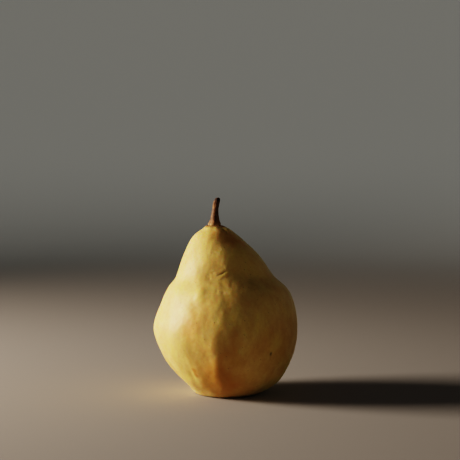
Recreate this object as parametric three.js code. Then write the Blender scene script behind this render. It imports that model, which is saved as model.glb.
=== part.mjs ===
// A ripe pear, standing upright on its calyx end as it does on a table.
// Millimetres, +Z up. The origin is on the table, under the middle of the belly.
// -Y is the pear's front, +X its fuller side; the neck and the stem lean towards -X.
//
// The fruit is one loft: rings of a given radius that run from the calyx basin, round the
// flat ring that it rests on, up the belly and the neck, and into the stem's socket.
// Broad swellings and hollows are then raised from that loft along its own normal.
// The stem stands in the socket, and five dried sepals and a tuft of withered stamens
// close the basin underneath.

import * as THREE from "three";

// ---- driving dimensions -------------------------------------------------------------

const SOCKET_HEIGHT = 87.5; // floor of the socket that the stem stands in
const BASIN_DEPTH = 6; // of the calyx basin, above the table
const FLOOR_SHIFT = [-1.5, 0]; // middle of the resting ring and the basin, from the origin
const NECK_SHIFT = [-6, 1.5]; // middle of the stem's socket, from the origin
const GAP = 0.3; // kept between pieces that touch

const FRUIT_SIDES = 40; // facets round the fruit
const STEPS_PER_RING = 2; // loft steps from one ring of the table to the next
const STEM_SIDES = 12;

// The rings of the fruit, from the basin up to the socket: radius, height, shift along X
// and Y. They are the control points of a cubic B-spline, so the skin passes close by them
// and has no corner. Four rings running at height 0 make the flat ring it rests on.
const RINGS = [
  [0, BASIN_DEPTH, ...FLOOR_SHIFT],
  [2.6, BASIN_DEPTH, ...FLOOR_SHIFT],
  [4.2, 5, ...FLOOR_SHIFT],
  [4.6, 3, ...FLOOR_SHIFT],
  [5.2, 0.8, ...FLOOR_SHIFT],
  [7.6, 0, ...FLOOR_SHIFT],
  [9.2, 0, ...FLOOR_SHIFT],
  [12, 0, ...FLOOR_SHIFT],
  [17, 0, 0.3, -0.5],
  [20.5, 3, 2.3, -1],
  [27, 8.5, 2.5, -1],
  [32.5, 16.5, 1.5, -0.5],
  [37, 26, 0.5, 0],
  [38.5, 36, -0.5, 0],
  [36, 45.5, 1, 0],
  [33.5, 52.5, 1, 0],
  [30, 57.5, 1, 0],
  [25.5, 62, -0.5, 0.5],
  [23, 67.5, -1.5, 0.5],
  [20, 73.5, -2.5, 1],
  [15, 79.5, -4.5, 1],
  [11.5, 84, -5.5, 1.5],
  [7.6, 86.4, -5, 1.5],
  [5, 88.2, ...NECK_SHIFT],
  [3.9, 88.9, ...NECK_SHIFT],
  [3.5, SOCKET_HEIGHT, ...NECK_SHIFT],
  [0, SOCKET_HEIGHT, ...NECK_SHIFT],
];

// Swellings (rise above 0) and hollows (below 0) of the skin: angle from +X in degrees, the
// height of the middle, half-width round the fruit, half-height along it, and rise.
const SWELLINGS = [
  // the five ribs that run up from the calyx, and the grooves between the front ones
  [-145, 12, 5, 9, 0.7],
  [-98, 12, 5, 13, 0.6],
  [-25, 10, 5, 10, 0.9],
  [45, 11, 5, 11, 1],
  [118, 12, 5, 10, 1],
  [-129, 14, 4, 8, -0.4],
  [-111, 12, 4, 9, -0.4],
  [-65, 10, 6, 8, -0.6],
  // front
  [-119, 25, 8, 9, -0.7],
  [-113, 42, 5, 9, 0.5],
  [-72, 40, 13, 14, 0.5],
  [-116, 55, 5, 4, 0.9],
  [-99, 63, 7, 6, -0.6],
  [-48, 62, 8, 5, -0.6],
  [-70, 76, 7, 6, 0.5],
  [-150, 40, 9, 9, -0.4],
  // fuller side
  [-18, 28, 10, 12, 0.5],
  [12, 60, 7, 5, -0.5],
  [35, 50, 9, 7, 0.9],
  // back
  [72, 26, 10, 10, -1],
  [80, 61, 9, 5, -0.9],
  [96, 51, 8, 6, 0.9],
  [70, 76, 7, 7, -0.6],
  [132, 31, 12, 12, 0.6],
  [150, 63, 7, 6, -0.6],
  [168, 22, 9, 9, -0.5],
  [-165, 72, 6, 7, -0.4],
];

// The stem, from its foot in the socket to its tip: radius, height, shift along X and Y.
// Its foot is thick and fleshy, and its tip is a small knob where it left the branch.
const STEM_RINGS = [
  [0, SOCKET_HEIGHT + GAP, ...NECK_SHIFT],
  [2.6, SOCKET_HEIGHT + GAP, ...NECK_SHIFT],
  [3.1, 88.5, ...NECK_SHIFT],
  [3.6, 89.3, ...NECK_SHIFT],
  [2.8, 90.5, -5.9, 1.4],
  [2.2, 92.3, -5.9, 1.3],
  [1.85, 94.3, -5.8, 1.2],
  [1.65, 96.3, -5.7, 1],
  [1.6, 98.3, -5.4, 0.8],
  [1.65, 100, -5.2, 0.7],
  [1.7, 101.3, -4.9, 0.6],
  [1.55, 102.4, -4.7, 0.5],
  [0.9, 103.3, -4.5, 0.5],
  [0, 103.3, -4.5, 0.5],
];
const TIP_SLANT = 0.12; // rise of the knob's end for each millimetre towards +X
const KNOB_FOOT = 99.5; // where the slant of the knob begins
const KNOB_TOP = 102.5; // where it is full

// A sepal is a pointed leaf of withered tissue that stands on the basin's floor.
const SEPAL = {
  count: 5,
  length: 4.5,
  width: 2.6,
  thickness: 0.5,
  foot: 2.3, // distance of its foot from the basin's middle
  splay: 0.8, // how far it bulges outwards at half its length
  tip: 1.6, // distance of its tip from the basin's middle
  firstAngle: -72, // degrees from +X
};
const STAMENS = { foot: 1, tip: 0.5, length: 2.6 };

// ---- materials ----------------------------------------------------------------------

const skin = new THREE.MeshStandardMaterial({ color: 0xe0cb78, roughness: 0.5, metalness: 0 });
const bark = new THREE.MeshStandardMaterial({ color: 0x6b3a1c, roughness: 0.7, metalness: 0 });
const withered = new THREE.MeshStandardMaterial({ color: 0x4a3220, roughness: 0.85, metalness: 0 });

// ---- shape --------------------------------------------------------------------------

// The point at t of a uniform cubic B-spline over rings of [radius, height, shiftX, shiftY],
// where t counts rings. A ring mirrored through the axis is added before the first and
// after the last, so that both poles are round.
function ringAt(rings, t) {
  const mirrored = ([radius, ...rest]) => [-radius, ...rest];
  const all = [mirrored(rings[1]), ...rings, mirrored(rings.at(-2))];
  const first = Math.min(Math.floor(t), rings.length - 2);
  const u = t - first;
  const weights = [
    (1 - u) ** 3,
    3 * u ** 3 - 6 * u ** 2 + 4,
    -3 * u ** 3 + 3 * u ** 2 + 3 * u + 1,
    u ** 3,
  ];
  return rings[0].map((_, axis) =>
    weights.reduce((sum, weight, k) => sum + (weight * all[first + k][axis]) / 6, 0),
  );
}

// How far the skin is raised at an angle and a ring: the sum of the swellings, each a
// bell curve round its middle, faded out towards the resting ring and the socket.
function rise(angle, radius, height) {
  const fade =
    THREE.MathUtils.smoothstep(Math.hypot(radius, height), 13, 24) *
    (1 - THREE.MathUtils.smoothstep(height, 80, 86));
  const sum = SWELLINGS.reduce((total, [degrees, middle, halfWidth, halfHeight, amount]) => {
    const turn = angle - THREE.MathUtils.degToRad(degrees);
    const across = (radius * Math.atan2(Math.sin(turn), Math.cos(turn))) / halfWidth;
    const along = (height - middle) / halfHeight;
    return total + amount * Math.exp(-across * across - along * along);
  }, 0);
  return fade * sum;
}

// A closed body lofted through rings, which run upwards. raise(angle, radius, height)
// gives how far each point moves out along the loft's normal, and slant(x, height) how far
// it moves up.
function loft(rings, sides, stepsPerRing, { raise = () => 0, slant = () => 0 } = {}) {
  const steps = (rings.length - 1) * stepsPerRing;
  const along = Array.from({ length: steps + 1 }, (_, i) => i / stepsPerRing);
  const profile = along.map((t) => ringAt(rings, t));
  const normals = along.map((t) => {
    const [r0, z0] = ringAt(rings, Math.max(t - 0.01, 0));
    const [r1, z1] = ringAt(rings, Math.min(t + 0.01, rings.length - 1));
    return new THREE.Vector2(z1 - z0, r0 - r1).normalize();
  });
  const outline = profile.map(([radius, height]) => new THREE.Vector2(Math.max(radius, 0), height));
  const body = new THREE.LatheGeometry(outline, sides);
  const place = body.getAttribute("position");
  for (let i = 0; i < place.count; i++) {
    const step = i % profile.length;
    const angle = ((i - step) / profile.length / sides) * 2 * Math.PI - Math.PI / 2;
    const [radius, height, shiftX, shiftY] = profile[step];
    const out = raise(angle, radius, height);
    const reach = step === 0 || step === steps ? 0 : radius + out * normals[step].x;
    const x = reach * Math.cos(angle);
    const y = reach * Math.sin(angle);
    const z = height + out * normals[step].y;
    place.setXYZ(i, shiftX + x, shiftY + y, z + slant(x, height));
  }
  return body;
}

function fruitGeometry() {
  return loft(RINGS, FRUIT_SIDES, STEPS_PER_RING, { raise: rise });
}

function stemGeometry() {
  const slant = (x, height) =>
    x * TIP_SLANT * THREE.MathUtils.smoothstep(height, KNOB_FOOT, KNOB_TOP);
  return loft(STEM_RINGS, STEM_SIDES, 1, { slant });
}

// A sepal about its own foot: +X is outwards from the basin's middle and -Z the way it
// grows, down towards the table. It is a sphere drawn out into a leaf: at a share s of its
// length its half-width is that of a pointed leaf, and its middle line bows outwards.
function sepalGeometry() {
  const leaf = new THREE.SphereGeometry(1, 10, 8);
  const place = leaf.getAttribute("position");
  const point = new THREE.Vector3();
  for (let i = 0; i < place.count; i++) {
    point.fromBufferAttribute(place, i);
    const s = (1 - point.y) / 2;
    const round = Math.hypot(point.x, point.z) || 1;
    const girth = Math.min(round, 1);
    const width = (SEPAL.width / 2) * girth * (1 - 0.55 * s);
    const thickness = (SEPAL.thickness / 2) * girth;
    const bow = SEPAL.foot + (SEPAL.tip - SEPAL.foot) * s + SEPAL.splay * 4 * s * (1 - s);
    place.setXYZ(
      i,
      bow + (point.x / round) * thickness,
      -(point.z / round) * width,
      -SEPAL.length * s,
    );
  }
  return leaf;
}

function stamensGeometry() {
  const tuft = new THREE.CylinderGeometry(STAMENS.foot, STAMENS.tip, STAMENS.length, 10, 2);
  return tuft.rotateX(Math.PI / 2).translate(0, 0, -STAMENS.length / 2);
}

// ---- assembly -----------------------------------------------------------------------

function named(name, geometry, material) {
  const mesh = new THREE.Mesh(geometry, material);
  mesh.name = name;
  return mesh;
}

const pear = new THREE.Group();
pear.add(named("fruit", fruitGeometry(), skin));
pear.add(named("stem", stemGeometry(), bark));

const calyx = new THREE.Group();
calyx.position.set(...FLOOR_SHIFT, BASIN_DEPTH - 2 * GAP);
for (let i = 0; i < SEPAL.count; i++) {
  const sepal = named(`sepal_${i + 1}`, sepalGeometry(), withered);
  sepal.rotation.z = THREE.MathUtils.degToRad(SEPAL.firstAngle + (360 / SEPAL.count) * i);
  calyx.add(sepal);
}
calyx.add(named("stamens", stamensGeometry(), withered));
pear.add(calyx);

export default pear;
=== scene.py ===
"""A ripe pear, standing upright on a plain pale floor under soft studio light.

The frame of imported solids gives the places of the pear's pieces. Around it, this script makes
the pear's skin, its woody stem, five dried sepals and the tuft of withered stamens. Each is a
surface worked out with numpy, and each has a finish worked out by shader nodes.

Shapes are worked out in millimetres, and become metres when they are made meshes.
+Z is up, -Y is the pear's front and +X its fuller side.
"""

import math

import bpy
import numpy as np
from bpy.props import FloatProperty, FloatVectorProperty, IntProperty, PointerProperty
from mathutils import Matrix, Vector


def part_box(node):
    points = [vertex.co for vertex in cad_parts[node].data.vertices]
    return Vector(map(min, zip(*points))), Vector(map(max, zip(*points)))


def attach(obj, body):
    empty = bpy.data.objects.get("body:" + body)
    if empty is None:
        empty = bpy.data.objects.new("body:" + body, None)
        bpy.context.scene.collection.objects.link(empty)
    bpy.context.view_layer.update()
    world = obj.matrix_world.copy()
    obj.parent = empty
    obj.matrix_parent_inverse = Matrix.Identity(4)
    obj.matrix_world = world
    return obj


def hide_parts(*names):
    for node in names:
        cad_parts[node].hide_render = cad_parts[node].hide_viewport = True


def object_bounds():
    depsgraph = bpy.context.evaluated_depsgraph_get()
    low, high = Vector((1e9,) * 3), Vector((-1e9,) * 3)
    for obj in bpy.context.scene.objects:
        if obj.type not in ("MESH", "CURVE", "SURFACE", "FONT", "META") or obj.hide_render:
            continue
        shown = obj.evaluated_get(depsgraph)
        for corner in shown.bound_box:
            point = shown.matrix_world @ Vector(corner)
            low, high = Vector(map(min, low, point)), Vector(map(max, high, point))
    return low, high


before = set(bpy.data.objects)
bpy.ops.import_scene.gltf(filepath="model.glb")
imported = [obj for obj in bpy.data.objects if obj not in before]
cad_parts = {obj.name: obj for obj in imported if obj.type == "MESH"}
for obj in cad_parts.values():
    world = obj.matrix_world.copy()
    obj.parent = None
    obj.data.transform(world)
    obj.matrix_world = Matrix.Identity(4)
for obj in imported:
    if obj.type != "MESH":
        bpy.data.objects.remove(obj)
CAD_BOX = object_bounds()

bl_info = {
    "name": "Pear",
    "version": (1, 0, 0),
    "blender": (4, 5, 0),
    "location": "3D View > Sidebar > Pear",
    "description": "Makes a ripe pear, with its stem and its dried calyx, around its solids",
    "category": "Object",
}

BODY = "root"
MM = 0.001  # a millimetre in metres
SEPALS = [f"sepal_{number}" for number in range(1, 6)]


def middle(node):
    """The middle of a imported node's box, in millimetres."""
    low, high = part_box(node)
    return (low + high) / 2 / MM


NECK = tuple(middle("stem")[:2])  # the axis of the stem's foot, which is its widest part
CALYX = tuple(middle("stamens")[:2])  # the axis of the calyx and of the resting ring
STEM_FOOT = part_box("stem")[0].z / MM
CALYX_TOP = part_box("stamens")[1].z / MM

# ---- the pear's form ---------------------------------------------------------------------

# Rings of the skin from the calyx basin, round the ring it rests on, up the belly and the
# neck and into the stem's socket: radius, height, shift along X and Y.
SKIN_RINGS = [
    (0, 6, *CALYX),
    (2.6, 6, *CALYX),
    (4.2, 5, *CALYX),
    (4.6, 3, *CALYX),
    (5.2, 0.8, *CALYX),
    (7.6, 0, *CALYX),
    (9.2, 0, *CALYX),
    (12, 0, *CALYX),
    (17, 0, 0.3, -0.5),
    (20.5, 3, 2.3, -1),
    (27, 8.5, 2.5, -1),
    (32.5, 16.5, 1.5, -0.5),
    (37, 26, 0.5, 0),
    (38.5, 36, -0.5, 0),
    (36, 45.5, 1, 0),
    (33.5, 52.5, 1, 0),
    (30, 57.5, 1, 0),
    (25.5, 62, -0.5, 0.5),
    (23, 67.5, -1.5, 0.5),
    (20, 73.5, -2.5, 1),
    (15, 79.5, -4.5, 1),
    (11.5, 84, -5.5, 1.5),
    (7.6, 86.4, -5, 1.5),
    (5, 88.2, *NECK),
    (3.9, 88.9, *NECK),
    (3.5, STEM_FOOT - 0.3, *NECK),
    (0, STEM_FOOT - 0.3, *NECK),
]

# Swellings (rise above 0) and hollows (below 0): angle from +X in degrees, height of the
# middle, half-width round the pear, half-height along it, rise, and the degrees by which
# the swelling leans over, where it does.
SWELLINGS = [
    # the five ribs that run up from the calyx, and the grooves between the front ones
    (-145, 12, 5, 9, 0.7),
    (-98, 12, 5, 13, 0.6),
    (-25, 10, 5, 10, 0.9),
    (45, 11, 5, 11, 1),
    (118, 12, 5, 10, 1),
    (-129, 14, 4, 8, -0.4),
    (-111, 12, 4, 9, -0.4),
    (-65, 10, 6, 8, -0.6),
    # front
    (-119, 25, 8, 9, -0.7),
    (-113, 42, 5, 9, 0.5),
    (-72, 40, 13, 14, 0.5),
    (-116, 55, 5, 4, 0.9),
    (-99, 63, 7, 6, -0.6),
    (-48, 62, 8, 5, -0.6),
    (-70, 76, 7, 6, 0.5),
    (-150, 40, 9, 9, -0.4),
    # fuller side
    (-18, 28, 10, 12, 0.5),
    (12, 60, 7, 5, -0.5),
    (35, 50, 9, 7, 0.9),
    # back
    (72, 26, 10, 10, -1),
    (80, 61, 9, 5, -0.9),
    (96, 51, 8, 6, 0.9),
    (70, 76, 7, 7, -0.6),
    (132, 31, 12, 12, 0.6),
    (150, 63, 7, 6, -0.6),
    (168, 22, 9, 9, -0.5),
    (-165, 72, 6, 7, -0.4),
]

# Small dents and lumps, in the same terms.
DENTS = [
    # the steep side of the front hollow
    (-115, 23, 6, 9, -0.2),
    (-128, 24, 5, 9, 0.2),
    # the step above the shoulder on the left
    (-178, 60.5, 9, 2, -0.3),
    (-178, 56, 9, 2.2, 0.3),
    # lumps on the front rib and the groove beside it
    (-100, 29, 3, 3, 0.35),
    (-99, 20, 3, 4, 0.3),
    (-105, 23, 2.5, 4, -0.25),
    (-135, 9, 2, 5, 0.15, -20),
    (-131, 13, 2, 4, -0.15, -15),
    (-116, 57, 2.5, 2.5, 0.35),
    (-109, 52, 3, 5, -0.15),
    # the edge that the front of the belly turns at
    (-97, 42, 5, 12, 0.28),
    (-84, 42, 6, 14, -0.3),
    # pits beside the crease
    (-108, 65, 0.9, 0.7, -0.12),
    (-111, 63.8, 0.8, 1, -0.1),
    (-103.5, 65.8, 1, 0.6, -0.1, 20),
    (-107.5, 63.3, 0.7, 1.1, -0.12),
    (-93, 60, 1, 0.8, -0.12),
    (-99.8, 57.3, 0.9, 1, -0.12),
    (-94, 56.4, 0.9, 0.9, -0.12),
    # the fold beside the stem, and the lump of flesh over it
    (-30, 86.8, 2.4, 1.6, 0.5),
    (-52, 86.6, 1, 1.6, -0.3),
    # pits of the back and the fuller side
    (64, 66, 1.6, 0.5, -0.3, -12),
    (102, 40, 0.8, 0.7, -0.25),
    (20, 36, 0.9, 0.8, -0.25),
]

# Colour zones in the same terms, with a strength in place of the rise. Most of the greenish
# zones lie in the hollows, and are partly the skin's greener tone and partly painted shade.
OLIVE_AND_SHADE_ZONES = [
    (-100, 64, 8, 6, 0.9),
    (-119, 67, 5, 4, 0.5),
    (-119, 26, 7, 9, 0.45),
    (-132, 13, 3, 7, 0.5),
    (-97, 45, 5, 12, 0.45),
    (-60, 60, 9, 5, 0.5),
    (72, 27, 9, 9, 0.7),
    (80, 62, 9, 5, 0.7),
    (150, 63, 7, 5, 0.6),
    (168, 20, 7, 8, 0.5),
    (12, 60, 8, 5, 0.5),
]
# The orange-brown zones are partly the skin's own flush of colour and partly painted shade: the
# warm brown of the shaded fuller side and of the groove low on the front.
BLUSH_AND_SHADE_ZONES = [
    (-106, 14, 9, 12, 0.7),
    (-125, 42, 10, 13, 0.3),
    (-92, 84, 9, 5, 0.35),
    (-45, 81, 9, 5, 0.5),
    (-105, 38, 10, 14, 0.2),
    (-95, 6, 18, 8, 0.4),
    (-86, 24, 9, 18, 0.4),
    (-52, 30, 20, 22, 0.4),
    (-14, 34, 20, 22, 0.35),
    (142, 28, 15, 15, 0.55),
    (118, 58, 9, 10, 0.45),
    (-160, 14, 10, 9, 0.5),
    (165, 72, 7, 8, 0.35),
    (84, 44, 8, 14, 0.4),
    (-123.7, 16.2, 1.2, 1.3, 0.9),
    (-124, 13.6, 1, 1.2, 0.8),
    (-118, 40, 6, 9, 0.3),
    (28, 26, 14, 12, 0.35),
    (110, 18, 12, 10, 0.35),
]

PIT_WIDTH = 1  # a dent is a dark pit where its half-width is at most this
CREASE_PLACE = (-92, 65.4)  # angle and height of the middle of the crease across the waist
CREASE_LEAN = 21  # degrees by which it climbs
BRUISE = (-52, 25.2, 1, 1.5, 1, 15)  # the bruise low on the front, in the same terms
BRUISE_DEPTH = 0.3

# The skin is plain where it rests and near the stem. The swellings, dents and random lumps
# begin at the first distance from the middle of the calyx's mouth, and are full at the second.
BASE_FADE = (13, 24)
# The swellings die away between these heights, and the pleats round the stem begin.
SHOULDER_FADE = (80, 86)
BASIN_FOLDS = 5  # folds round the mouth of the calyx basin
NECK_PLEATS = 9  # shallow pleats round the stem's socket
FULL_RISE = 0.9  # rise or fall of the skin at which the painted light on a raised part or the painted shade in a sunken part is full

# Rings of the stem from its foot in the socket to the knob at its end, in the terms of the
# skin's rings.
STEM_RINGS = [
    (0, STEM_FOOT, *NECK),
    (2.6, STEM_FOOT, *NECK),
    (3.1, 88.5, *NECK),
    (3.6, 89.3, *NECK),
    (2.8, 90.5, -5.9, 1.4),
    (2.2, 92.3, -5.9, 1.3),
    (1.85, 94.3, -5.8, 1.2),
    (1.65, 96.3, -5.7, 1),
    (1.6, 98.3, -5.4, 0.8),
    (1.65, 100, -5.2, 0.7),
    (1.7, 101.3, -4.9, 0.6),
    (1.55, 102.4, -4.7, 0.5),
    (0.9, 103.3, -4.5, 0.5),
    (0, 103.3, -4.5, 0.5),
]
KNOB_FOOT = 99.5  # height where the slant of the stem's end begins
KNOB_TOP = 102.5  # height where it is full

# Sets of lengthwise wrinkles on the stem: how many go round it, where they begin, how far they
# wind round for each millimetre up, and how strong they are.
WRINKLES = [
    (3, 0.4, 0.12, 0.8),
    (5, 2, -0.2, 0.6),
    (8, 1, 0.3, 0.5),
    (13, 3, -0.15, 0.35),
]

# A sepal and a thread of the tuft, in millimetres.
SEPAL_HALF_WIDTH = 1.25
SEPAL_HALF_THICKNESS = 0.2
SEPAL_DISTANCE = 2.35  # of its foot from the calyx's axis
TUFT_RADIUS = 0.95  # of the patch that the threads grow from
THREAD_ROOT = 0.35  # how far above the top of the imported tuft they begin
THREAD_ROWS = 12
THREAD_COLUMNS = 7

# ---- the stage ---------------------------------------------------------------------------

# Places are in metres, with the origin under the pear.
KEY_PLACE = Vector((-0.94, 0.04, 0.3))
KEY_COLOUR = (1, 0.88, 0.76)
FILL_PLACE = Vector((0.9, -0.9, 0.5))
FILL_COLOUR = (1, 0.6, 0.4)
FILL_SIZE = 1
FILL_SPREAD = math.pi
GLOW_REACH = (0.3, 1.5)  # distances from the axis where the glow begins and is full
GLOW_HEIGHT = (0.5, 1.5)  # heights where it begins to fade and is faintest
GLOW_FADE = 0.7  # the share of it that is lost on the way up
FLAT_FLOOR = (0.01, 0.4)  # radii of two rings on the flat part of the floor
BEND_ROWS = 24  # of the backdrop's mesh, up the bend from floor to wall
WALL_COLUMNS = 96  # of that mesh, round it
CAMERA_SIDE = 0.0022  # of the camera, towards +X from the pear's axis
CAMERA_TILT = 3.33  # degrees that it looks down by
CAMERA_LENS = 86.1  # millimetres
CAMERA_SENSOR = 36  # millimetres

# ---- curves and bumps --------------------------------------------------------------------

SPLINE_SAMPLES = 4000  # points at which a profile's length is measured


def smooth(value, low, high):
    """0 up to low and 1 from high on, with t^2 (3 - 2 t) between them, where t is the share of
    the way from low to high. It runs downwards where high is less than low."""
    t = np.clip((value - low) / (high - low), 0, 1)
    return t * t * (3 - 2 * t)


def bell(distance):
    """exp(-distance^2): 1 at the middle, and almost 0 at twice the half-width."""
    return np.exp(-(distance**2))


def spline(rings, places):
    """Points on a uniform cubic B-spline, where place t lies between rings floor(t) and
    floor(t) + 1. With u = t - floor(t), and a, b, c and d the four rings around it, the point
    is ((1 - u)^3 a + (3 u^3 - 6 u^2 + 4) b + (1 + 3 u + 3 u^2 - 3 u^3) c + u^3 d) / 6. A ring's
    first column is its radius. A ring mirrored through the axis is added at each end, so
    that the poles are round."""
    rings = np.array(rings, float)
    through_axis = np.where(np.arange(rings.shape[1]) == 0, -1, 1)
    rings = np.vstack([rings[1] * through_axis, rings, rings[-2] * through_axis])
    first = np.clip(places.astype(int), 0, len(rings) - 4)
    u = (places - first)[:, None]
    a, b, c, d = (rings[first + step] for step in range(4))
    return (
        (1 - u) ** 3 * a
        + (3 * u**3 - 6 * u**2 + 4) * b
        + (1 + 3 * u + 3 * u**2 - 3 * u**3) * c
        + u**3 * d
    ) / 6


def profile_rows(rings, count, crowding=None):
    """Points and outward normals of count rows along a spline of rings, the poles left out.
    The rows are evenly spaced by length, or closer together where crowding(height) is
    more. The normal is (dz, -dr), at right angles to the way (dr, dz) that the profile runs."""
    places = np.linspace(0, len(rings) - 1, SPLINE_SAMPLES)
    points = spline(rings, places)
    length = np.hypot(*np.diff(points[:, :2], axis=0).T)
    if crowding is not None:
        length = length * crowding(points[1:, 1])
    travelled = np.concatenate([[0], np.cumsum(length)])
    rows = np.interp(np.linspace(0, travelled[-1], count + 2)[1:-1], travelled, places)
    along = spline(rings, rows + 0.01) - spline(rings, rows - 0.01)
    normals = np.stack([along[:, 1], -along[:, 0]], axis=1)
    return spline(rings, rows), normals / np.linalg.norm(normals, axis=1, keepdims=True)


def raised(angle, radius, height, table):
    """The sum of a table's swellings at each point: rise * exp(-(across / half-width)^2 -
    (along / half-height)^2). Across is the way round the pear, along the way up it, both
    from the swelling's middle, and a leaning swelling has the two turned by its lean."""
    total = np.zeros(np.broadcast(angle, radius).shape)
    for degrees, centre, half_width, half_height, rise, *lean in table:
        turn = (angle - math.radians(degrees) + math.pi) % math.tau - math.pi
        tilt = math.radians(lean[0]) if lean else 0
        across = radius * turn * math.cos(tilt) + (height - centre) * math.sin(tilt)
        along = (height - centre) * math.cos(tilt) - radius * turn * math.sin(tilt)
        total += rise * bell(across / half_width) * bell(along / half_height)
    return total


def lumps(points, size, stretch, seed, waves=28):
    """Smooth random unevenness with a root mean square of 1: the sum over many plane waves of
    cos(p . k + phase), divided by the root of half their number. The waves have lengths near
    size and random directions and phases, and are longer up the pear by stretch."""
    random = np.random.default_rng(seed)
    ways = random.normal(size=(waves, 3))
    ways /= np.linalg.norm(ways, axis=1, keepdims=True)
    ways *= math.tau / (size * random.uniform(0.7, 1.5, size=(waves, 1)))
    ways[:, 2] /= stretch
    phases = random.uniform(0, math.tau, waves)
    return np.cos(points @ ways.T + phases).sum(axis=-1) / math.sqrt(waves / 2)


# ---- meshes ------------------------------------------------------------------------------


def tube_faces(rows, columns):
    """Quads and pole triangles of one closed tube. They face out where the columns run
    anticlockwise seen from the last row, and in where they run clockwise. The two poles come
    after the grid's own points."""
    start = np.arange(rows - 1)[:, None] * columns
    here = np.arange(columns)
    after = np.roll(here, -1)
    corners = [start + here, start + after, start + columns + after, start + columns + here]
    quads = np.stack(corners, axis=-1).reshape(-1, 4)
    first_pole = np.full(columns, rows * columns)
    last_row = (rows - 1) * columns
    first_fan = np.stack([first_pole, after, here], axis=-1)
    last_fan = np.stack([first_pole + 1, last_row + here, last_row + after], axis=-1)
    return quads, np.vstack([first_fan, last_fan])


def with_poles(grid):
    """Each tube's grid points, and then its two poles, the middles of its end rows."""
    flat = grid.reshape(grid.shape[0], -1, grid.shape[-1])
    return np.concatenate([flat, grid[:, :1].mean(axis=2), grid[:, -1:].mean(axis=2)], axis=1)


def add_piece(name, tubes, finish, nodes, masks=None):
    """Makes one piece of closed tubes: tubes[tube, row, column] are points in millimetres. It
    rides on the body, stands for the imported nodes, and carries masks as point attributes."""
    count, rows, columns, _ = tubes.shape
    points = with_poles(tubes)
    offsets = np.arange(count)[:, None, None] * points.shape[1]
    faces = []
    for kind in tube_faces(rows, columns):
        faces += (kind[None] + offsets).reshape(-1, kind.shape[1]).tolist()
    old = bpy.data.objects.get(name)
    if old is not None:
        bpy.data.objects.remove(old)
    mesh = bpy.data.meshes.new(name)
    mesh.from_pydata((points.reshape(-1, 3) * MM).tolist(), [], faces)
    mesh.shade_smooth()
    for mask, values in (masks or {}).items():
        attribute = mesh.attributes.new(mask, "FLOAT", "POINT")
        attribute.data.foreach_set("value", with_poles(values[None, ..., None]).ravel())
    mesh.materials.append(finish)
    if mesh.validate():
        raise RuntimeError(f"{name} had faces that Blender had to repair")
    piece = bpy.data.objects.new(name, mesh)
    bpy.context.scene.collection.objects.link(piece)
    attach(piece, BODY)
    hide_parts(*nodes)


# ---- finishes ----------------------------------------------------------------------------


class Channel:
    """A value that varies over a surface: a shader socket whose operators add Math nodes."""

    def __init__(self, socket):
        self.socket = socket

    def math(self, operation, *values):
        tree = self.socket.id_data
        node = tree.nodes.new("ShaderNodeMath")
        node.operation = operation
        for socket, value in zip(node.inputs, values):
            if isinstance(value, Channel):
                tree.links.new(value.socket, socket)
            else:
                socket.default_value = value
        return Channel(node.outputs[0])

    def __add__(self, other):
        return self.math("ADD", self, other)

    def __sub__(self, other):
        return self.math("SUBTRACT", self, other)

    def __rsub__(self, other):
        return self.math("SUBTRACT", other, self)

    def __mul__(self, other):
        return self.math("MULTIPLY", self, other)

    __radd__ = __add__
    __rmul__ = __mul__


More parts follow.
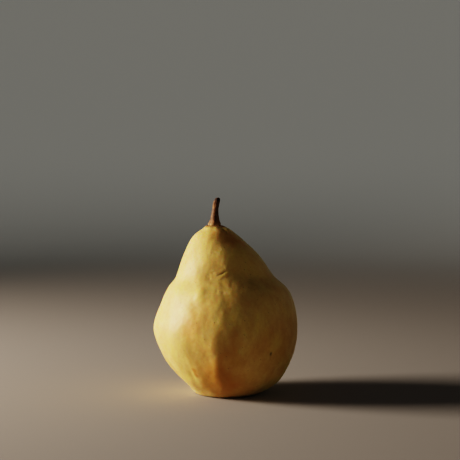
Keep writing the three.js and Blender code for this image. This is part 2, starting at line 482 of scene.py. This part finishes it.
class Finish:
    """A procedural material, and the ways to make its nodes."""

    def __init__(self, name):
        old = bpy.data.materials.get(name)
        if old is not None:
            bpy.data.materials.remove(old)
        self.material = bpy.data.materials.new(name)
        self.material.use_nodes = True
        self.tree = self.material.node_tree
        self.tree.nodes.clear()
        self.place = self.node("ShaderNodeTexCoord", output="Object")

    def node(self, kind, settings=None, sockets=None, output=0):
        """Adds a node, with its settings first and then its sockets' values or links, and
        returns one of its outputs, where it has any."""
        node = self.tree.nodes.new(kind)
        for name, value in (settings or {}).items():
            setattr(node, name, value)
        for name, value in (sockets or {}).items():
            if isinstance(value, Channel):
                self.tree.links.new(value.socket, node.inputs[name])
            else:
                node.inputs[name].default_value = value
        return Channel(node.outputs[output]) if node.outputs else None

    def stretched(self, scale):
        """Object coordinates scaled along X, Y and Z, to stretch a pattern where it is below 1."""
        return self.node("ShaderNodeMapping", None, {"Vector": self.place, "Scale": scale})

    def noise(self, size, detail=2, roughness=0.5, place=None):
        """Soft noise, 0 to 1, with features of about size millimetres."""
        sockets = {
            "Vector": place or self.place,
            "Scale": 1 / (size * MM),
            "Detail": detail,
            "Roughness": roughness,
        }
        return self.node("ShaderNodeTexNoise", None, sockets, "Fac")

    def cells(self, size, output="Distance"):
        """Voronoi cells of about size millimetres: the distance from a cell's own point, in
        cells, or the cell's own random colour."""
        sockets = {"Vector": self.place, "Scale": 1 / (size * MM)}
        return self.node("ShaderNodeTexVoronoi", None, sockets, output)

    def smooth(self, value, low, high):
        """The smoothstep of a value from low to high, which may run downwards."""
        settings = {"interpolation_type": "SMOOTHSTEP"}
        sockets = {"Value": value, "From Min": low, "From Max": high}
        return self.node("ShaderNodeMapRange", settings, sockets)

    def mask(self, name):
        """One of the piece's own point attributes."""
        return self.node("ShaderNodeAttribute", {"attribute_name": name}, None, "Fac")

    def mix(self, share, first, second):
        """The first colour with a share of the second mixed in. A Mix node's factor is input
        0, its colours are inputs 6 and 7, and its mixed colour is output 2."""
        settings = {"data_type": "RGBA", "blend_type": "MIX", "clamp_factor": True}
        first, second = (
            value if isinstance(value, Channel) else (*value, 1) for value in (first, second)
        )
        return self.node("ShaderNodeMix", settings, {0: share, 6: first, 7: second}, 2)

    def bump(self, height, depth):
        """The normal of a height from 0 to 1 that stands for depth millimetres."""
        sockets = {"Height": height, "Distance": depth * MM, "Strength": 1}
        return self.node("ShaderNodeBump", None, sockets)

    def close(self, sockets):
        """Ends the material in a Principled shader with these sockets."""
        shader = self.node("ShaderNodeBsdfPrincipled", None, sockets)
        self.node("ShaderNodeOutputMaterial", None, {"Surface": shader})
        return self.material


def skin_finish(look):
    """Waxy skin: straw yellow with ochre clouds, greenish zones, an orange-brown flush, russet
    round the stem and the calyx, freckles, and dark creases, pits and bruises. Paler cream on
    the crests is painted light, and darker ochre and greenish brown in the hollows are painted
    shade. The greenish and orange-brown zones are partly the skin's own colour and partly
    painted shade."""
    finish = Finish("pear_skin")
    clouds = finish.noise(15, 3)
    patches = finish.noise(5, 3, 0.6, finish.stretched((1, 1, 0.6)))
    flecks = finish.noise(1.3, 2)
    hollow_shade = finish.mask("hollow_shade")
    crest_light = finish.mask("crest_light")
    mark = finish.mask("mark")

    # painted light: the crests are paler, in cream
    colour = finish.mix(finish.smooth(clouds + crest_light * 0.25, 0.5, 0.85), look.straw, look.cream)
    blush_and_shade_mask = finish.mask("blush_and_shade")
    # painted shade: the hollows deepen the ochre here and the greenish brown below, and the
    # orange-brown zones add partly painted shade
    ochre = finish.smooth(patches - clouds * 0.5 + hollow_shade * 0.3 + blush_and_shade_mask * 0.6, 0.15, 0.75)
    colour = finish.mix(ochre * 0.75, colour, look.ochre)
    olive_and_shade = finish.smooth(finish.mask("olive_and_shade") + hollow_shade * 0.4 + patches * 0.7, 0.5, 1.4)
    colour = finish.mix(olive_and_shade * 0.75, colour, look.olive_and_shade)
    # partly the skin's orange-brown flush, partly painted shade on the fuller side and in the
    # front groove
    blush_and_shade = finish.smooth(blush_and_shade_mask + patches * 0.5 + clouds * 0.2, 0.55, 1.35)
    colour = finish.mix(blush_and_shade * 0.8, colour, look.blush_and_shade)
    russet = finish.smooth(finish.mask("russet") + patches * 0.5 + flecks * 0.2, 0.6, 1.3)
    colour = finish.mix(russet * 0.85, colour, look.russet)

    rarity = finish.cells(2.4, "Color")
    freckle = finish.smooth(finish.cells(2.4), 0.17, 0.09) * finish.smooth(rarity, 0.35, 0.75)
    colour = finish.mix(freckle * 0.4, colour, look.russet)
    colour = finish.mix(finish.smooth(flecks, 0.35, 0.75) * 0.12, colour, look.blush_and_shade)
    colour = finish.mix(finish.smooth(mark + flecks * 0.2, 0.25, 0.9), colour, look.mark)

    roughness = 0.44 + patches * 0.12 + russet * 0.18 + mark * 0.2
    relief = finish.noise(1.1, 2) * 0.5 + finish.noise(0.35, 1) * 0.2 + freckle * 0.5
    return finish.close(
        {
            "Base Color": colour,
            "Roughness": roughness,
            "Specular IOR Level": 0.3,
            "Subsurface Weight": 0.5,
            "Subsurface Radius": (1, 0.4, 0.12),
            "Subsurface Scale": 0.003,
            "Sheen Weight": 0.04,
            "Sheen Roughness": 0.5,
            "Normal": finish.bump(relief, 0.09),
        }
    )


def stem_finish(look):
    """Bark of the stem: the colour of flesh and then orange-brown on the foot, brown along the
    middle and nearly black at the tip, with lengthwise fibres, a few pale pores and a paler
    scar on its end. The grooves between the fibres are darkened in the tip's dark colour as
    painted shade."""
    finish = Finish("pear_bark")
    fibres = finish.noise(0.5, 3, 0.6, finish.stretched((1, 1, 0.12)))
    clouds = finish.noise(1.8, 3)
    foot = finish.mask("foot")
    tip = finish.mask("tip")
    scar = finish.mask("scar")

    colour = finish.mix(finish.smooth(clouds + fibres * 0.4, 0.55, 0.95), look.bark, look.amber)
    colour = finish.mix(finish.smooth(foot + clouds * 0.3, 0.25, 0.95), colour, look.amber)
    colour = finish.mix(finish.smooth(foot + clouds * 0.3, 0.95, 1.25), colour, look.flesh)
    # painted shade in the grooves between the fibres
    colour = finish.mix(finish.smooth(fibres, 0.55, 0.3) * 0.3, colour, look.shadow)
    pore = finish.smooth(finish.cells(0.9), 0.2, 0.1) * finish.smooth(clouds, 0.45, 0.6)
    colour = finish.mix(pore * 0.4, colour, look.amber)
    colour = finish.mix(finish.smooth(tip + clouds * 0.4, 0.7, 1.3), colour, look.shadow)
    colour = finish.mix(scar * finish.smooth(clouds, 0.3, 0.7) * 0.4, colour, look.amber)
    relief = fibres * 0.8 + pore * 0.4 + finish.noise(0.25, 2) * 0.3
    return finish.close(
        {
            "Base Color": colour,
            "Roughness": 0.55 + fibres * 0.25,
            "Specular IOR Level": 0.4,
            "Normal": finish.bump(relief, 0.12),
        }
    )


def calyx_finish(name, look, grain):
    """Withered tissue: dark brown with paler papery streaks along it and, on a sepal, papery
    edges. The grain is the width of the streaks in millimetres."""
    finish = Finish(name)
    streaks = finish.noise(grain, 3, 0.6, finish.stretched((1, 1, 0.3)))
    colour = finish.mix(finish.smooth(streaks, 0.35, 0.7), look.withered, look.papery)
    edge = finish.smooth(finish.mask("edge") + streaks * 0.3, 0.7, 1.1)
    colour = finish.mix(edge * 0.7, colour, look.papery)
    return finish.close(
        {
            "Base Color": colour,
            "Roughness": 0.75 + streaks * 0.15,
            "Specular IOR Level": 0.25,
            "Normal": finish.bump(streaks, 0.12),
        }
    )


# ---- surfaces ----------------------------------------------------------------------------

FRONT = math.radians(-100)  # the side where the columns of the skin are closest together
CROWDING = 0.45  # how much closer they are there
WAIST = 63  # height where the rows of the skin are closest together
WAIST_HALF_HEIGHT = 8
WAIST_CROWDING = 1.2  # how much closer they are there


def skin_surface(look):
    """The skin as a grid, rows up the profile by columns round it. A point is its ring's
    middle + radius (cos a, sin a), raised along the profile's normal by the swellings, the
    dents, random lumps, the crease with its lips, the bruise, and the folds and pleats, which
    are cos(n a) round the two ends, and held at or above the floor. The columns' angle is
    s - c sin(s - front) for even steps of s, so that they crowd at the front. The rows crowd
    at the waist, where the crease is."""
    rows, normals = profile_rows(
        SKIN_RINGS,
        look.rows,
        lambda height: 1 + WAIST_CROWDING * bell((height - WAIST) / WAIST_HALF_HEIGHT),
    )
    steps = np.linspace(0, math.tau, look.columns, endpoint=False)
    angle = (steps - CROWDING * np.sin(steps - FRONT))[None, :]
    radius, height, shift_x, shift_y = (column[:, None] for column in rows.T)
    out_r, out_z = (column[:, None] for column in normals.T)
    plain = np.stack(
        [
            shift_x + radius * np.cos(angle),
            shift_y + radius * np.sin(angle),
            height + 0 * angle,
        ],
        axis=-1,
    )

    from_calyx = np.hypot(radius, height)
    outside = smooth(from_calyx, *BASE_FADE)
    belly = outside * (1 - smooth(height, *SHOULDER_FADE))
    swelling = belly * raised(angle, radius, height, SWELLINGS)
    dents = outside * smooth(radius, 4, 7) * raised(angle, radius, height, DENTS)
    unevenness = outside * smooth(radius, 4, 12) * look.unevenness / MM * (
        lumps(plain, 15, 1.2, seed=11)
        + 0.3 * lumps(plain, 6.5, 1.5, seed=12)
        + 0.12 * lumps(plain, 2.6, 1.2, seed=13)
    )
    half_length = look.crease_length / MM / 2
    half_width = look.crease_width / MM / 2
    crease_table = [(*CREASE_PLACE, half_length, half_width, 1, CREASE_LEAN)]
    crease = raised(angle, radius, height, crease_table)
    lips = [
        (-92, 66.7, half_length * 1.3, 0.8, 0.12, CREASE_LEAN),
        (-91, 64.1, half_length * 1.3, 0.8, 0.15, CREASE_LEAN),
    ]
    folds = 0.3 * np.cos(BASIN_FOLDS * angle) * bell((radius - 5.5) / 1.5)
    folds = folds * (1 - smooth(from_calyx, 8, 13))
    pleats = 0.07 * np.cos(NECK_PLEATS * angle + 0.4) * bell((radius - 6.5) / 2)
    pleats = pleats * smooth(height, *SHOULDER_FADE)
    bruise = raised(angle, radius, height, [BRUISE])
    out = (
        swelling
        + dents
        + unevenness
        + raised(angle, radius, height, lips)
        - look.crease_depth / MM * crease
        - BRUISE_DEPTH * bruise
        + folds
        + pleats
    )

    points = np.stack(
        [
            plain[..., 0] + out * out_r * np.cos(angle),
            plain[..., 1] + out * out_r * np.sin(angle),
            np.maximum(plain[..., 2] + out * out_z, 0),
        ],
        axis=-1,
    )
    broad = swelling + dents + unevenness
    near_neck = smooth(height, 80, 89) * bell((radius - 3.5) / 3)
    near_calyx = 1 - smooth(from_calyx, 5, 15)
    pit_table = [row for row in DENTS if row[2] <= PIT_WIDTH]
    pits = np.clip(-5 * raised(angle, radius, height, pit_table), 0, 1)
    masks = {
        # painted shade in the hollows and painted light on the crests, by how far the skin falls
        # or rises
        "hollow_shade": np.clip(-broad / FULL_RISE, 0, 1),
        "crest_light": np.clip(broad / FULL_RISE, 0, 1),
        # greenish and orange-brown zones: partly the skin's own colour, partly painted shade
        "olive_and_shade": np.clip(raised(angle, radius, height, OLIVE_AND_SHADE_ZONES), 0, 1),
        "blush_and_shade": np.clip(raised(angle, radius, height, BLUSH_AND_SHADE_ZONES), 0, 1),
        "russet": np.clip(near_neck + near_calyx + 0 * angle, 0, 1),
        "mark": np.clip(0.4 * crease + 0.6 * bruise + 0.3 * pits, 0, 1),
    }
    return points, masks


def stem_surface(look):
    """The stem as a grid, rows up it by columns round it. A point is its ring's middle + radius
    (cos a, sin a), raised along the profile's normal by random lumps and lengthwise wrinkles,
    the sum of share cos(k a + phase + drift z) for a few whole k. The end is slanted by
    height += slant x, in full at the knob's top."""
    rows, normals = profile_rows(STEM_RINGS, look.rows)
    angle = np.linspace(0, math.tau, look.columns, endpoint=False)[None, :]
    radius, height, shift_x, shift_y = (column[:, None] for column in rows.T)
    out_r, out_z = (column[:, None] for column in normals.T)
    wrinkles = np.zeros((look.rows, look.columns))
    for count, phase, drift, share in WRINKLES:
        wrinkles += share * np.cos(count * angle + phase + drift * height)
    plain = np.stack(
        [radius * np.cos(angle), radius * np.sin(angle), height + 0 * angle], axis=-1
    )
    side = smooth(radius, 0.6, 1.5)
    out = side * look.wrinkle_depth / MM * (
        wrinkles + 0.8 * lumps(plain, 2.2, 2.2, seed=21) + 0.35 * lumps(plain, 0.8, 1.5, seed=22)
    )
    reach = radius + out * out_r
    x = reach * np.cos(angle)
    slant = look.slant * smooth(height, KNOB_FOOT, KNOB_TOP)
    points = np.stack(
        [
            shift_x + x,
            shift_y + reach * np.sin(angle),
            height + out * out_z + slant * x,
        ],
        axis=-1,
    )
    masks = {
        "foot": 1 - smooth(height + 0 * angle, 88.8, 93.5),
        "tip": smooth(height + 0.6 * np.cos(angle), 98.5, 102.8),
        "scar": smooth(out_z, 0.5, 0.9) * smooth(height, 101, 102) + 0 * angle,
    }
    return points, masks


def sepal_surface(look, node, seed):
    """One dried sepal as a grid, rows from its tip to its foot by columns round its section,
    clockwise seen from the foot. With s from 0 at the foot to 1 at the tip, its section is an
    ellipse, cupped towards the axis by the square of the way across it, and wavy with veins.
    Its half-width goes as (0.08 + 0.92 sin(pi (s + 0.12)^0.6)^0.7) (1 - 0.45 s). Its middle
    line runs down from the basin's floor, leans in by 0.75 s, is bowed outwards by
    splay 4 s (1 - s) and curled at the tip by curl s^4, and is swept aside by twist s^2."""
    random = np.random.default_rng(seed)
    length, splay, curl, twist = (
        look.sepal_length / MM * random.uniform(0.85, 1.05),
        random.uniform(0.5, 0.9),
        random.uniform(-0.9, 0.2),
        random.uniform(-0.5, 0.5),
    )
    centre = middle(node)
    out_way = np.array([centre[0] - CALYX[0], centre[1] - CALYX[1]])
    out_way /= np.linalg.norm(out_way)
    side_way = np.array([-out_way[1], out_way[0]])
    s = np.linspace(0, 1, look.sepal_rows)[:, None]
    round_way = np.linspace(0, math.tau, look.sepal_columns, endpoint=False)[None, :]
    outline = 0.08 + 0.92 * np.sin(math.pi * np.clip(s + 0.12, 0, 1) ** 0.6) ** 0.7
    half_width = SEPAL_HALF_WIDTH * outline * (1 - 0.45 * s)
    thickness = SEPAL_HALF_THICKNESS * (1 - 0.6 * s) * smooth(s, -0.15, 0.1)
    across = np.cos(round_way)
    veins = 0.05 * np.cos(9 * across + 4 * s) + 0.07 * np.cos(7 * s * math.pi + 3 * across)
    cup = -0.35 * (1 - 0.4 * s) * across**2
    side = half_width * across + twist * s**2
    depth = thickness * np.sin(round_way) + cup + veins
    bow = SEPAL_DISTANCE - 0.75 * s + splay * 4 * s * (1 - s) + curl * s**4
    outward = bow + depth
    down = CALYX_TOP + 0.05 - length * (s - 0.1 * s**6) + 0.12 * across * s
    points = np.stack(
        [
            CALYX[0] + outward * out_way[0] + side * side_way[0],
            CALYX[1] + outward * out_way[1] + side * side_way[1],
            down,
        ],
        axis=-1,
    )
    masks = {"edge": np.clip(across**2 * 0.6 + 0.6 * s, 0, 1)}
    return points[::-1], {name: values[::-1] for name, values in masks.items()}


def stamens_surface(look):
    """The tuft of withered threads, one closed tube for each: threads[thread, row, column].
    A thread hangs from the basin's floor, along start + spread s + bend s^2 sideways and
    length s down. It is thin, and swells to a shrivelled head at its end."""
    random = np.random.default_rng(31)
    count = look.threads
    turn = random.uniform(0, math.tau, count)
    start = TUFT_RADIUS * np.sqrt(random.uniform(0, 1, count))
    way = turn + random.normal(0, 0.5, count)
    spread = random.uniform(-0.2, 0.5, count)
    bend = random.uniform(-0.6, 0.5, count)
    length = look.thread_length / MM * random.uniform(0.55, 1.1, count)
    thick = random.uniform(0.07, 0.12, count)
    head = random.uniform(0.5, 1.6, count)
    turn, start, way, spread, bend, length, thick, head = (
        values[:, None, None] for values in (turn, start, way, spread, bend, length, thick, head)
    )
    s = np.linspace(1, 0, THREAD_ROWS)[None, :, None]
    round_way = np.linspace(0, math.tau, THREAD_COLUMNS, endpoint=False)[None, None, :]
    sideways = spread * s + bend * s**2
    swell = thick * (1 + head * bell((s - 0.93) / 0.07)) * (0.35 + 0.65 * smooth(s, 1.02, 0.97))
    return np.stack(
        [
            CALYX[0] + start * np.cos(turn) + sideways * np.cos(way) + swell * np.cos(round_way),
            CALYX[1] + start * np.sin(turn) + sideways * np.sin(way) + swell * np.sin(round_way),
            CALYX_TOP + THREAD_ROOT - length * s + 0 * round_way,
        ],
        axis=-1,
    )


# ---- settings ----------------------------------------------------------------------------


def length(name, description, default):
    """A size that a user may change, in metres."""
    return FloatProperty(
        name=name,
        description=description,
        default=default,
        min=0,
        subtype="DISTANCE",
        unit="LENGTH",
    )


def spread_angle(name, description, default):
    """An angle from 0 to a half turn, in radians."""
    return FloatProperty(
        name=name, description=description, default=default, min=0, max=math.pi, unit="ROTATION"
    )


def number(name, description, default):
    """A count that a user may change, at least 3."""
    return IntProperty(name=name, description=description, default=default, min=3)


def watts(name, description, default):
    """The power of a light."""
    return FloatProperty(name=name, description=description, default=default, min=0, unit="POWER")


def colour(name, description, default):
    """A colour that a user may change, as linear red, green and blue."""
    return FloatVectorProperty(
        name=name, description=description, default=default, min=0, max=1, size=3, subtype="COLOR"
    )


class PearSkinSettings(bpy.types.PropertyGroup):
    """Sizes and colours of the skin."""

    rows: number("Rows", "Rows of the skin's mesh, up the pear", 300)
    columns: number("Columns", "Columns of the skin's mesh, round the pear", 288)
    unevenness: length("Unevenness", "Height of the skin's random lumps", 0.00012)
    crease_length: length("Crease Length", "Length of the crease across the waist", 0.0042)
    crease_width: length("Crease Width", "Width of the crease", 0.0008)
    crease_depth: length("Crease Depth", "Depth of the crease", 0.0002)
    straw: colour("Straw", "Main colour of the skin", (0.8, 0.6, 0.23))
    # cream is painted light on the crests as well as the skin's palest clouds
    cream: colour("Cream", "Colour of the palest crests", (0.83, 0.65, 0.22))
    # ochre is also painted shade in the hollows
    ochre: colour("Ochre", "Colour of the warm clouds", (0.72, 0.46, 0.17))
    # this colour is painted shade in the hollows, and partly so in the greenish zones
    olive_and_shade: colour("Olive", "Colour of the hollows", (0.55, 0.39, 0.14))
    # this colour is partly the skin's own flush and partly painted shade on the fuller side
    blush_and_shade: colour("Blush", "Colour of the blush low on the front", (0.55, 0.25, 0.05))
    russet: colour("Russet", "Colour round the stem, the calyx and in freckles", (0.3, 0.16, 0.05))
    mark: colour("Mark", "Colour of creases, pits and bruises", (0.07, 0.04, 0.015))


class PearStemSettings(bpy.types.PropertyGroup):
    """Sizes and colours of the stem."""

    rows: number("Rows", "Rows of the stem's mesh, up the stem", 150)
    columns: number("Columns", "Columns of the stem's mesh, round the stem", 96)
    wrinkle_depth: length("Wrinkle Depth", "Depth of the lengthwise wrinkles", 0.00006)
    slant: FloatProperty(name="Slant", description="Rise of the end for its width", default=0.12)
    bark: colour("Bark", "Main colour of the stem", (0.14, 0.068, 0.036))
    amber: colour("Amber", "Colour of the foot and of the paler bark", (0.31, 0.155, 0.06))
    flesh: colour("Flesh", "Colour of the fleshy edge of the foot", (0.5, 0.33, 0.15))
    # the tip's own dark colour, and painted shade between the fibres
    shadow: colour("Dark Tip and Shade", "Colour of the tip and between the fibres", (0.035, 0.015, 0.01))


class PearCalyxSettings(bpy.types.PropertyGroup):
    """Sizes and colours of the dried calyx."""

    sepal_rows: number("Sepal Rows", "Rows of a sepal's mesh, from foot to tip", 36)
    sepal_columns: number("Sepal Columns", "Columns round a sepal's section", 32)
    sepal_length: length("Sepal Length", "Length of a sepal", 0.0045)
    threads: number("Threads", "Withered stamens and styles in the tuft", 24)
    thread_length: length("Thread Length", "Length of a stamen", 0.0028)
    withered: colour("Withered", "Main colour of the calyx", (0.06, 0.032, 0.016))
    papery: colour("Papery", "Colour of its papery streaks and edges", (0.24, 0.15, 0.08))


class PearStageSettings(bpy.types.PropertyGroup):
    """The floor, the lights and the camera."""

    floor: colour("Floor", "Colour of the floor and the wall", (0.42, 0.395, 0.37))
    wall_radius: length("Wall Radius", "Radius of the round wall", 2.4)
    wall_height: length("Wall Height", "Height of the round wall", 2)
    wall_bend: length("Wall Bend", "Radius of the bend between floor and wall", 1.6)
    wall_glow: colour("Wall Glow", "Light that the wall gives off", (0.115, 0.116, 0.108))
    surroundings: colour("Surroundings", "Colour of the room's even light", (0.03, 0.026, 0.026))
    key_power: watts("Key Power", "Power of the light from the left", 3.6)
    key_size: length("Key Size", "Side of that light's square", 0.34)
    key_spread: spread_angle("Key Spread", "Angle that it fans out by", math.radians(90))
    fill_power: watts("Fill Power", "Power of the warm light from the right", 0.05)
    camera_distance: length("Camera Distance", "From the camera to the pear's axis", 0.58)
    camera_height: length("Camera Height", "Of the camera above the floor", 0.12)


# ---- operators ---------------------------------------------------------------------------


class PEAR_OT_skin(bpy.types.Operator):
    """Make the pear's skin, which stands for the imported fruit"""

    bl_idname = "pear.skin"
    bl_label = "Skin"

    def execute(self, context):
        look = context.scene.pear_skin
        points, masks = skin_surface(look)
        add_piece("pear_skin", points[None], skin_finish(look), ["fruit"], masks)
        return {"FINISHED"}


class PEAR_OT_stem(bpy.types.Operator):
    """Make the woody stem"""

    bl_idname = "pear.stem"
    bl_label = "Stem"

    def execute(self, context):
        look = context.scene.pear_stem
        points, masks = stem_surface(look)
        add_piece("woody_stem", points[None], stem_finish(look), ["stem"], masks)
        return {"FINISHED"}


class PEAR_OT_sepals(bpy.types.Operator):
    """Make the dried sepals round the calyx"""

    bl_idname = "pear.sepals"
    bl_label = "Sepals"

    def execute(self, context):
        look = context.scene.pear_calyx
        finish = calyx_finish("dried_sepal", look, grain=0.5)
        for seed, node in enumerate(SEPALS):
            points, masks = sepal_surface(look, node, seed)
            add_piece(f"dried_{node}", points[None], finish, [node], masks)
        return {"FINISHED"}


class PEAR_OT_stamens(bpy.types.Operator):
    """Make the tuft of withered stamens"""

    bl_idname = "pear.stamens"
    bl_label = "Stamens"

    def execute(self, context):
        look = context.scene.pear_calyx
        finish = calyx_finish("withered_stamens", look, grain=0.3)
        threads = stamens_surface(look)
        add_piece("withered_stamens", threads, finish, ["stamens"])
        return {"FINISHED"}


class PEAR_OT_stage(bpy.types.Operator):
    """Make the floor, the lights and the camera"""

    bl_idname = "pear.stage"
    bl_label = "Floor, Lights and Camera"

    def execute(self, context):
        look = context.scene.pear_stage
        add_backdrop(look)
        add_lights(look)
        add_camera(look)
        return {"FINISHED"}


def add_backdrop(look):
    """The pale floor, which curves up into a round wall so that no edge shows from any side.
    Its profile is flat, then a quarter circle, r = wall - bend + bend sin t and z = bend
    (1 - cos t), and then upright. It is turned about the axis of the pear, clockwise, so that
    it faces in and up. Away from the pear it glows faintly, and less towards the top, where
    the glow is smooth(distance) (1 - fade smooth(height))."""
    finish = Finish("floor")
    height = finish.node("ShaderNodeSeparateXYZ", None, {"Vector": finish.place}, "Z")
    reach = finish.node(
        "ShaderNodeVectorMath", {"operation": "LENGTH"}, {0: finish.stretched((1, 1, 0))}, "Value"
    )
    glow = finish.smooth(reach, *GLOW_REACH) * (
        1 - finish.smooth(height, *GLOW_HEIGHT) * GLOW_FADE
    )
    finish.close(
        {
            "Base Color": (*look.floor, 1),
            "Roughness": 0.9,
            "Specular IOR Level": 0.1,
            "Emission Color": finish.mix(glow, (0, 0, 0), look.wall_glow),
            "Emission Strength": 1,
        }
    )
    # the glow is too faint and even to be sampled as a lamp
    finish.material.cycles.emission_sampling = "NONE"
    turn = np.linspace(0, math.pi / 2, BEND_ROWS)
    radius = look.wall_radius - look.wall_bend * (1 - np.sin(turn))
    height = look.wall_bend * (1 - np.cos(turn))
    radius = np.concatenate([FLAT_FLOOR, radius, [look.wall_radius]])[:, None]
    height = np.concatenate([[0, 0], height, [look.wall_height]])[:, None]
    angle = np.linspace(math.tau, 0, WALL_COLUMNS, endpoint=False)[None, :]
    grid = np.stack([radius * np.cos(angle), radius * np.sin(angle), height + 0 * angle], axis=-1)
    quads, fans = tube_faces(*grid.shape[:2])
    centre_fan = fans[: grid.shape[1]]
    mesh = bpy.data.meshes.new("floor")
    mesh.from_pydata(with_poles(grid[None])[0].tolist(), [], quads.tolist() + centre_fan.tolist())
    mesh.shade_smooth()
    mesh.materials.append(finish.material)
    floor = bpy.data.objects.new("floor", mesh)
    bpy.context.scene.collection.objects.link(floor)


def add_light(name, power, side, spread, colour, place):
    """A square light that faces the middle of the pear and doesn't show in the picture. Its
    light fans out by the angle spread, as that of a softbox with a grid does."""
    data = bpy.data.lights.new(name, "AREA")
    data.energy = power
    data.size = side
    data.spread = spread
    data.color = colour
    light = bpy.data.objects.new(name, data)
    light.location = place
    aim = (CAD_BOX[0] + CAD_BOX[1]) / 2
    light.rotation_euler = (aim - light.location).to_track_quat("-Z", "Y").to_euler()
    light.visible_camera = False
    bpy.context.scene.collection.objects.link(light)


def add_lights(look):
    """A soft low key light from the pear's left, a weak warm fill from the right, the room's
    even light, and the contrast that it is all seen with."""
    add_light("key", look.key_power, look.key_size, look.key_spread, KEY_COLOUR, KEY_PLACE)
    add_light("fill", look.fill_power, FILL_SIZE, FILL_SPREAD, FILL_COLOUR, FILL_PLACE)
    world = bpy.data.worlds.new("surroundings")
    world.use_nodes = True
    background = world.node_tree.nodes["Background"]
    background.inputs["Color"].default_value = (*look.surroundings, 1)
    bpy.context.scene.world = world
    bpy.context.scene.view_settings.view_transform = "Filmic"
    bpy.context.scene.view_settings.look = "Very High Contrast"


def add_camera(look):
    """A camera in front of the pear, a little above its tip, looking slightly down."""
    data = bpy.data.cameras.new("camera")
    data.sensor_width = CAMERA_SENSOR
    data.lens = CAMERA_LENS
    camera = bpy.data.objects.new("camera", data)
    camera.location = (CAMERA_SIDE, -look.camera_distance, look.camera_height)
    camera.rotation_euler = (math.radians(90 - CAMERA_TILT), 0, 0)
    bpy.context.scene.collection.objects.link(camera)
    bpy.context.scene.camera = camera


class PEAR_PT_sidebar(bpy.types.Panel):
    """Lists the pear's pieces and their settings"""

    bl_label = "Pear"
    bl_idname = "PEAR_PT_sidebar"
    bl_space_type = "VIEW_3D"
    bl_region_type = "UI"
    bl_category = "Pear"

    def draw(self, context):
        for group, makers in MAKERS.items():
            box = self.layout.box()
            for maker in makers:
                box.operator(maker.bl_idname)
            settings = getattr(context.scene, group)
            for name in settings.__annotations__:
                box.prop(settings, name)


SETTINGS = {
    "pear_stage": PearStageSettings,
    "pear_skin": PearSkinSettings,
    "pear_stem": PearStemSettings,
    "pear_calyx": PearCalyxSettings,
}
MAKERS = {
    "pear_stage": [PEAR_OT_stage],
    "pear_skin": [PEAR_OT_skin],
    "pear_stem": [PEAR_OT_stem],
    "pear_calyx": [PEAR_OT_sepals, PEAR_OT_stamens],
}
CLASSES = [
    *SETTINGS.values(),
    *(maker for makers in MAKERS.values() for maker in makers),
    PEAR_PT_sidebar,
]


def register():
    for kind in CLASSES:
        bpy.utils.register_class(kind)
    for name, kind in SETTINGS.items():
        setattr(bpy.types.Scene, name, PointerProperty(type=kind))


def unregister():
    for name in SETTINGS:
        delattr(bpy.types.Scene, name)
    for kind in reversed(CLASSES):
        bpy.utils.unregister_class(kind)


def main():
    """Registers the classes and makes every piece."""
    register()
    bpy.ops.pear.stage()
    bpy.ops.pear.skin()
    bpy.ops.pear.stem()
    bpy.ops.pear.sepals()
    bpy.ops.pear.stamens()


if __name__ == "__main__":
    main()
